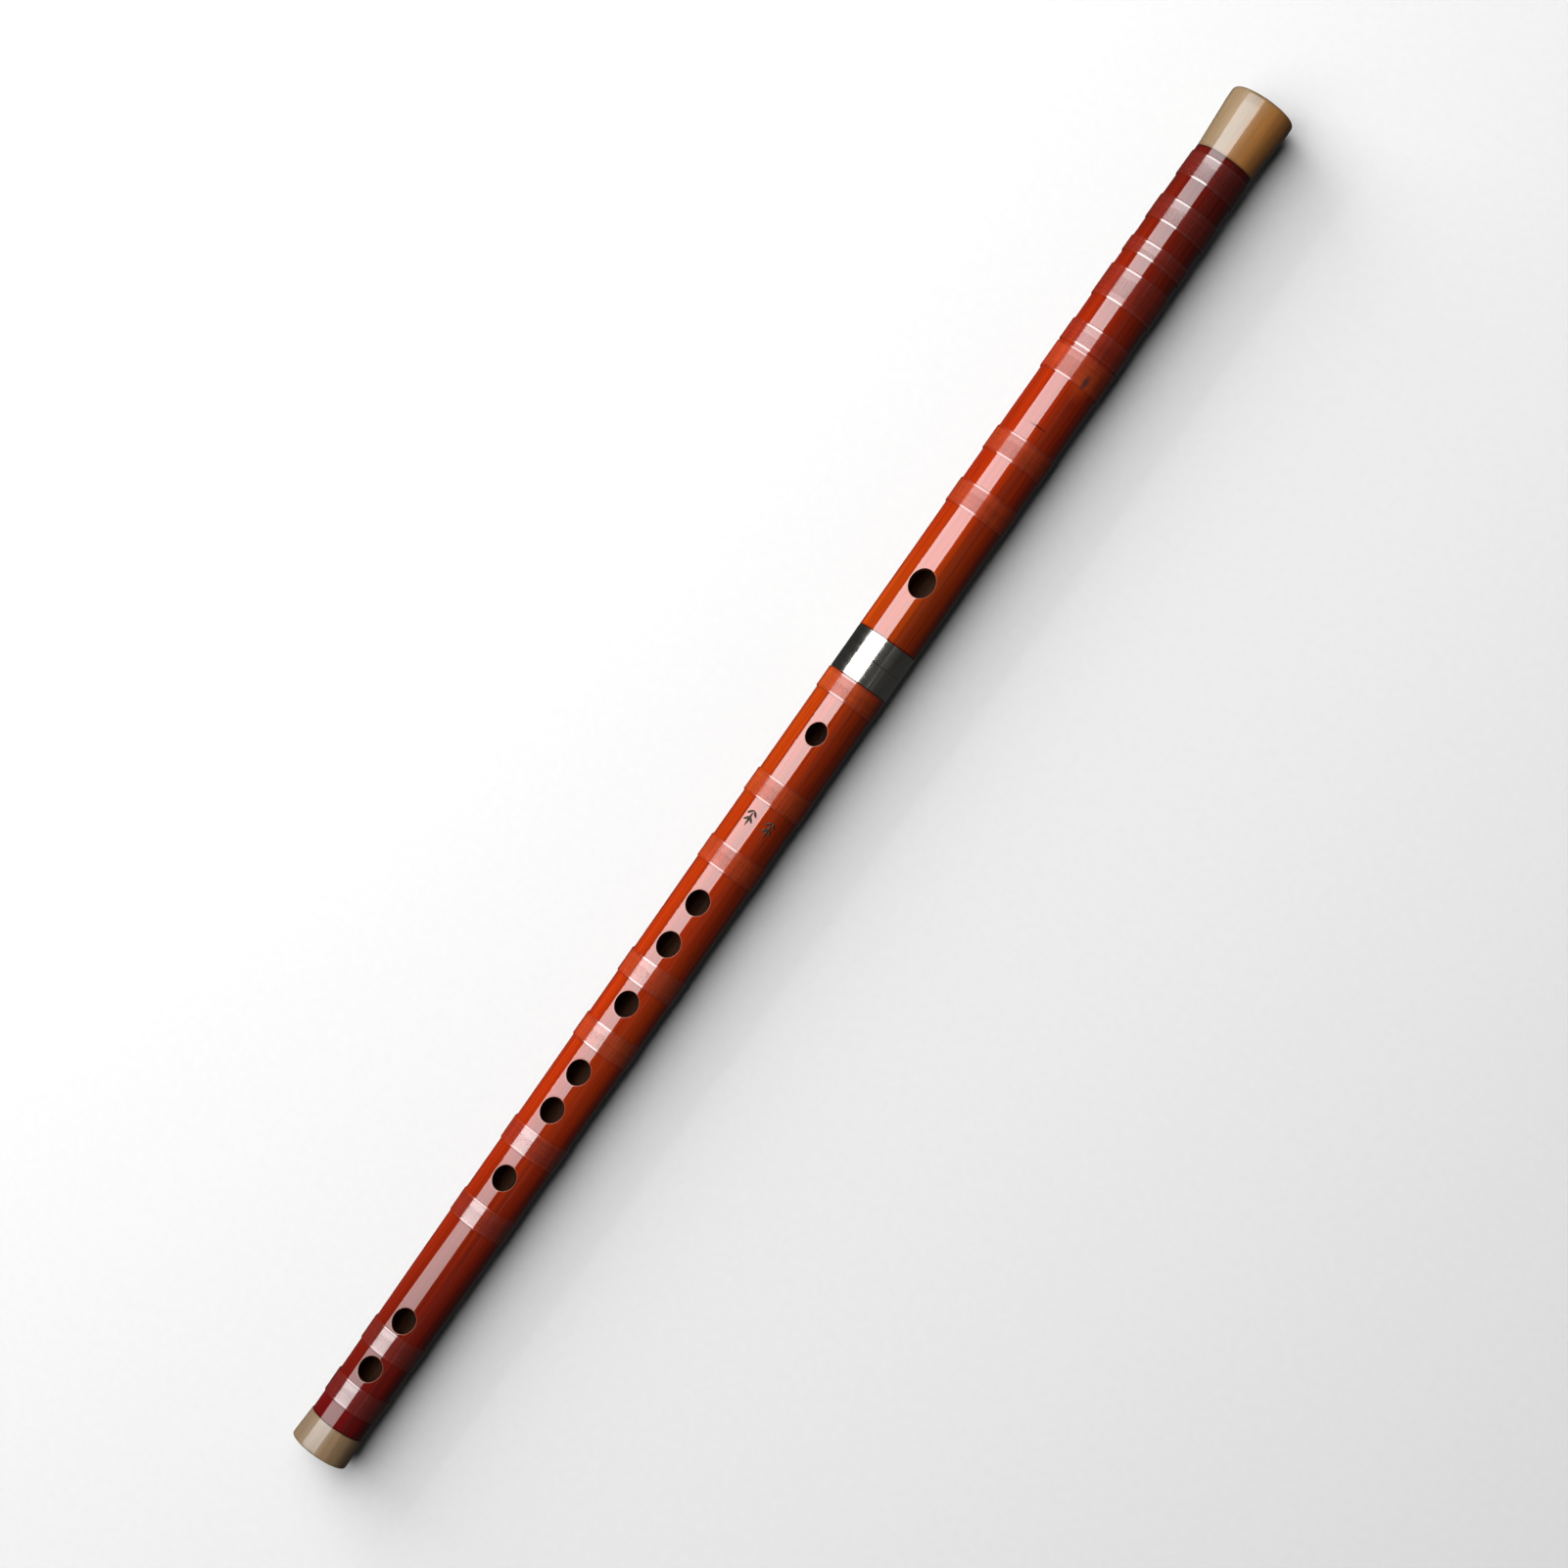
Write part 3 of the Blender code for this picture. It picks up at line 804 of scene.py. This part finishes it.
def thread_binding():
    """One binding: a thread wound close in a helix, a coat of lacquer in it and a bead at each edge.

    Each binding's faces carry its number, so that the ones wound before it keep their own finish.
    """
    number = "NodeSocketFloat"
    tree, nodes, given = geometry_tree(
        "Thread Binding", Start=(number, 0.0), Width=(number, 0.01), Start_Radius=(number, 0.0126),
        End_Radius=(number, 0.0126), Rise=(number, 0.00045), Thread=(number, 0.00042),
        Bead=(number, 0.00024), Unevenness=(number, 0.000012), Seed=(number, 1.0),
        Wound=("NodeSocketMaterial", None), Edge=("NodeSocketMaterial", None))

    def circle(radius, sides):
        return nodes.add("GeometryNodeCurvePrimitiveCircle",
                         {"Resolution": sides, "Radius": radius}).outputs[0]

    def swept(curve, profile, caps=False):
        return nodes.add("GeometryNodeCurveToMesh",
                         {"Curve": curve, "Profile Curve": profile, "Fill Caps": caps}).outputs[0]

    def moved(geometry, **change):
        return nodes.add("GeometryNodeTransform", {"Geometry": geometry, **change}).outputs[0]

    def joined(*parts):
        whole = nodes.add("GeometryNodeJoinGeometry")
        for part in parts:
            nodes.set(whole.inputs[0], part)
        return whole.outputs[0]

    def marked(geometry, name, value, kind):
        return nodes.add("GeometryNodeStoreNamedAttribute",
                         {"Geometry": geometry, "Name": name, "Value": value},
                         data_type=kind, domain="FACE").outputs[0]

    def painted(geometry, material, where):
        return nodes.add("GeometryNodeSetMaterial",
                         {"Geometry": geometry, "Material": material, "Selection": where}).outputs[0]

    half = nodes.product(given["Thread"], 0.5)
    top = nodes.total(given["Rise"], nodes.product(half, -1.12))
    wind = nodes.add("GeometryNodeCurveSpiral", {
        "Resolution": 64, "Rotations": nodes.math("DIVIDE", given["Width"], given["Thread"]),
        "Start Radius": nodes.total(given["Start Radius"], top),
        "End Radius": nodes.total(given["End Radius"], top), "Height": given["Width"]})
    place = nodes.add("GeometryNodeInputPosition").outputs[0]
    jitter = nodes.add("ShaderNodeTexNoise", {"Vector": place, "W": given["Seed"], "Scale": 420.0,
                                              "Detail": 2.0}, noise_dimensions="4D")
    shake = nodes.add("ShaderNodeVectorMath", {0: jitter.outputs["Color"], 1: (0.5, 0.5, 0.5)},
                      operation="SUBTRACT").outputs[0]
    shake = nodes.add("ShaderNodeVectorMath", {0: shake, "Scale": given["Unevenness"]}, operation="SCALE")
    loose = nodes.add("GeometryNodeSetPosition", {"Geometry": wind.outputs[0], "Offset": shake.outputs[0]})
    threads = swept(loose.outputs[0], circle(nodes.product(half, 1.1), 6), caps=True)
    mean = nodes.product(nodes.total(given["Start Radius"], given["End Radius"]), 0.5)
    across = nodes.add("GeometryNodeCurvePrimitiveQuadrilateral",
                       {"Width": nodes.product(given["Rise"], 0.9), "Height": given["Width"]}).outputs[0]
    lacquer = swept(circle(nodes.total(mean, nodes.product(given["Rise"], 0.3)), BEAD_SIDES), across)
    lacquer = moved(lacquer, Translation=nodes.vector(0.0, 0.0, nodes.product(given["Width"], 0.5)))
    lift = nodes.product(given["Rise"], 0.49)
    oval = moved(circle(1.0, 10), Scale=nodes.vector(lift, given["Bead"], 1.0))
    beads = [moved(swept(circle(nodes.total(radius, lift), BEAD_SIDES), oval),
                   Translation=nodes.vector(0.0, 0.0, height))
             for height, radius in ((0.0, given["Start Radius"]), (given["Width"], given["End Radius"]))]
    binding = joined(threads, lacquer, marked(joined(*beads), "edge", True, "BOOLEAN"))
    binding = moved(binding, Translation=nodes.vector(given["Start"], 0.0, AXIS_HEIGHT),
                    Rotation=(0.0, pi / 2, 0.0))
    whole = joined(given["Geometry"], marked(binding, "binding", given["Seed"], "FLOAT"))
    this = nodes.add("FunctionNodeCompare", {0: nodes.attribute("binding", "FLOAT"), 1: given["Seed"]},
                     data_type="FLOAT", operation="EQUAL").outputs[0]
    rim = nodes.add("FunctionNodeBooleanMath", {0: this, 1: nodes.attribute("edge", "BOOLEAN")},
                    operation="AND").outputs[0]
    real = nodes.add("GeometryNodeRealizeInstances", {0: whole}).outputs[0]
    finished = painted(painted(real, given["Wound"], this), given["Edge"], rim)
    nodes.add("NodeGroupOutput", {"Geometry": finished})
    return tree


def bindings(name, tree, nodes_named, wound, edge):
    """All the bindings of one section as one piece; wound gives each one's thread."""
    host = shown(name + "_host", bpy.data.meshes.new(name))
    for count, (node, material) in enumerate(zip(nodes_named, wound), 1):
        low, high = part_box(node)
        start = low.x + BEAD - GAP / 2
        end = high.x - BEAD + GAP / 2
        give_tree(host, tree, Start=start, Width=end - start, Start_Radius=bamboo_radius(start),
                  End_Radius=bamboo_radius(end), Rise=BAND_RISE, Bead=BEAD, Seed=float(count),
                  Wound=material, Edge=edge[material.name])
    return made_plain(host, name, 60)


# ---------------------------------------------------------------- engraved leaves


def leaf_mark(name, at, bamboo, material):
    """An engraved sprig of five slim leaves filled with pigment, set into the skin of the bamboo."""
    x, angle = at
    corners = [point.co for point in bamboo.data.vertices]
    skin = BVHTree.FromPolygons(corners, [tuple(face.vertices) for face in bamboo.data.polygons])

    def on_skin(u, v, lift):
        turn = radians(angle) + v / BODY_TUBE_RADIUS
        away = Vector((0, sin(turn), cos(turn)))
        middle = Vector((u, 0, AXIS_HEIGHT))
        hit = skin.ray_cast(middle + away * 0.02, -away)[0]
        return tuple(hit + away * lift)

    points = []
    faces = []
    for start, spread, size in ((0.0, -46, 3.2 * MM), (0.0, 46, 3.2 * MM), (2.7 * MM, -42, 3.0 * MM),
                                (2.7 * MM, 42, 3.0 * MM), (0.6 * MM, 0, 6.2 * MM)):
        first = len(points)
        lean = radians(spread)
        for step in range(LEAF_STEPS + 1):
            along = step / LEAF_STEPS
            full = sin(pi * along) ** 0.7
            # left edge, raised middle, right edge and the buried underside
            for side, lift in ((-1, 0.01), (0, 0.04 * full), (1, 0.01), (0, 0.01 - 0.15 * full)):
                forward = size * along
                wide = side * 0.52 * MM * full
                points.append(on_skin(x + start + forward * cos(lean) - wide * sin(lean),
                                      forward * sin(lean) + wide * cos(lean), lift * MM))
        for step in range(LEAF_STEPS):
            low = first + step * 4
            faces += [(low + k, low + (k + 1) % 4, low + 4 + (k + 1) % 4, low + 4 + k) for k in range(4)]
        last = first + LEAF_STEPS * 4
        faces += [(first, first + 1, first + 2, first + 3), (last + 3, last + 2, last + 1, last)]
    mesh = bpy.data.meshes.new(name)
    mesh.from_pydata(points, [], faces)
    shell = bmesh.new()
    shell.from_mesh(mesh)
    bmesh.ops.remove_doubles(shell, verts=shell.verts, dist=0.012 * MM)
    bmesh.ops.recalc_face_normals(shell, faces=shell.faces)
    shell.to_mesh(mesh)
    shell.free()
    mesh.materials.append(material)
    mesh.shade_smooth()
    return shown(name, mesh)


# ---------------------------------------------------------------- stage


def make_stage():
    """A pale floor that both caps rest on, four long panel lights and a dim dusk round it."""
    drop = (HEAD_CAP_RIM - FOOT_CAP_RIM) / (FOOT_END - HEAD_END)
    bpy.ops.mesh.primitive_plane_add(size=12)
    floor = bpy.context.object
    floor.name = "floor"
    floor.rotation_euler.y = -atan(drop)
    floor.location.z = -HEAD_END * drop - 0.00005
    paper, nodes, shader = finish("floor_paper", Specular_IOR_Level=0.1)
    grain = nodes.noise((300, 300, 300), 2.0)
    nodes.set(shader["Base Color"], nodes.ramp(grain, (0.0, 0.300), (1.0, 0.320)))
    nodes.set(shader["Roughness"], nodes.span(grain, 0.3, 0.7, 0.85, 0.95))
    floor.data.materials.append(paper)
    # the floor stays out of the reflections and bounces, so that the lacquer keeps its depth
    floor.visible_glossy = False
    floor.visible_diffuse = False
    softbox = panel("softbox", lean=-28.2, distance=1.6, length=3.6, width=1.89, brightness=9.0)
    fade_to_ends(softbox.data)
    wash = panel("side_wash", lean=-72, distance=1.8, length=1.6, width=1.1, brightness=16.0)
    wash.location.x = -0.45
    wash.visible_glossy = False
    panel("fill", lean=36, distance=1.7, length=3.2, width=1.9, brightness=0.03)
    panel("edge_strip", lean=42.5, distance=1.6, length=3.0, width=0.04, brightness=0.35)
    world = bpy.data.worlds.new("dusk")
    bpy.context.scene.world = world
    world.use_nodes = True
    world.node_tree.nodes["Background"].inputs["Color"].default_value = (0.035, 0.035, 0.035, 1)


def panel(name, lean, distance, length, width, brightness):
    """A long panel light over the flute, leaning by an angle from straight up towards +Y."""
    data = bpy.data.lights.new(name, "AREA")
    data.shape = "RECTANGLE"
    data.size = length
    data.size_y = width
    data.energy = brightness * pi * length * width
    light = bpy.data.objects.new(name, data)
    light.location = (0, distance * sin(radians(lean)), AXIS_HEIGHT + distance * cos(radians(lean)))
    light.rotation_euler.x = -radians(lean)
    bpy.context.scene.collection.objects.link(light)
    return light


def fade_to_ends(lamp):
    """Makes a panel brightest near its middle, as a softbox with one tube in it is."""
    lamp.use_nodes = True
    nodes = Nodes(lamp.node_tree)
    across = nodes.xyz(nodes.add("ShaderNodeNewGeometry").outputs["Parametric"])["X"]
    glow = nodes.ramp(across, (0.27, 0.50), (0.32, 0.68), (0.36, 0.88), (0.42, 0.97), (0.49, 1.0),
                      (0.56, 0.86), (0.62, 0.68), (0.66, 0.54), (0.72, 0.44))
    nodes.set(lamp.node_tree.nodes["Emission"].inputs["Strength"], glow)


def make_camera():
    """Above the flute and a little to its +Y side, with the flute slanting across the square frame."""
    data = bpy.data.cameras.new("camera")
    data.sensor_width = 36
    data.lens = 79.71
    camera = bpy.data.objects.new("camera", data)
    camera.location = (-0.0008, 0.2084, 1.3064)
    camera.rotation_euler = (radians(5.183), radians(7.618), radians(125.478))
    bpy.context.scene.collection.objects.link(camera)
    bpy.context.scene.camera = camera


# ---------------------------------------------------------------- pieces


def claim(piece, body, slot, *replaced):
    """Says which body the piece rides on and which frame nodes it stands for; slot, the name of its finish,
    is not used.
    """
    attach(piece, body)
    if replaced:
        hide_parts(*replaced)


def build():
    growth = bamboo_growth()
    skin = lacquered_bamboo()
    bore = bore_lacquer()
    claim(head_bamboo(growth, skin, bore), "head", "lacquered_bamboo", "head_tube")
    lower = body_bamboo(growth, skin, bore)
    claim(lower, "body", "lacquered_bamboo", "body_tube")

    # pale is painted on the lit -Y side of each cap and warm on its shaded +Y side
    tan_horn = horn("pale_horn", warm=(0.205, 0.086, 0.021), pale=(0.098, 0.066, 0.036),
                    rim=HEAD_END, neck=HEAD_NECK)
    grey_horn = horn("grey_horn", warm=(0.165, 0.104, 0.054), pale=(0.090, 0.062, 0.038),
                     rim=FOOT_END, neck=FOOT_NECK)
    claim(end_cap("head_cap_horn", HEAD_END, HEAD_NECK, HEAD_CAP_RIM, HEAD_CAP_NECK, 2.2 * MM, tan_horn),
          "head", "pale_horn", "head_cap")
    claim(end_cap("foot_cap_horn", FOOT_END, FOOT_NECK, FOOT_CAP_RIM, FOOT_CAP_NECK, 0.9 * MM, grey_horn),
          "body", "grey_horn", "foot_cap")

    nickel = polished_nickel()
    brass = drawn_brass()
    claim(ferrule("head_ferrule_ring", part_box("head_ferrule")[0].x, PARTING - JOINT_GAP, nickel),
          "head", "polished_nickel", "head_ferrule")
    claim(ferrule("body_ferrule_ring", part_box("body_ferrule")[1].x, PARTING + JOINT_GAP, nickel),
          "body", "polished_nickel", "body_ferrule")
    low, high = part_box("tenon_tube")
    claim(sleeve("tenon_sleeve", low.x, high.x, TENON_RADIUS, TENON_BORE, brass),
          "tenon", "drawn_brass", "tenon_tube")
    low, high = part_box("socket_tube")
    claim(sleeve("socket_sleeve", low.x, high.x, SOCKET_RADIUS, SOCKET_BORE, brass),
          "body", "drawn_brass", "socket_tube")
    claim(cork(cork_bark()), "stopper", "cork", "cork_stopper")

    binding = thread_binding()
    violet = (0.095, 0.016, 0.012)
    rose = (0.280, 0.066, 0.024)
    dark = thread_finish("thread_dark", gloss=1.0, index=1.70, dull=0.10, veil=0.14, tint=violet)
    orange = thread_finish("thread_orange", gloss=0.9, index=1.53, dull=0.12, veil=0.12, tint=rose)
    bright = thread_finish("thread_bright", gloss=1.0, index=1.85, dull=0.08, veil=0.12, tint=rose)
    white = thread_finish("thread_white", gloss=1.0, index=2.08, dull=0.07, veil=0.16, tint=violet)
    bead = thread_finish("edge_bead", gloss=1.0, index=2.1, dull=0.12, veil=0.02, tint=rose)
    soft_bead = thread_finish("edge_bead_soft", gloss=1.0, index=1.9, dull=0.15, veil=0.02, tint=rose)
    edge = {"thread_dark": bead, "thread_orange": soft_bead,
            "thread_bright": bead, "thread_white": soft_bead}
    head_bands = [f"head_binding_{i}" for i in range(1, 9)]
    body_bands = [f"body_binding_{i}" for i in range(1, 10)]
    claim(bindings("head_bindings", binding, head_bands, [dark] * 5 + [orange] * 3, edge),
          "head", "lacquered_thread", *head_bands)
    claim(bindings("body_bindings", binding, body_bands, [orange] * 3 + [bright] * 2 + [white] * 4, edge),
          "body", "lacquered_thread", *body_bands)

    pigment = ink()
    claim(leaf_mark("leaf_mark_upper", UPPER_LEAF, lower, pigment), "body", "lacquered_bamboo")
    claim(leaf_mark("leaf_mark_lower", LOWER_LEAF, lower, pigment), "body", "lacquered_bamboo")


bpy.context.scene.view_settings.view_transform = "Standard"
make_stage()
make_camera()
build()
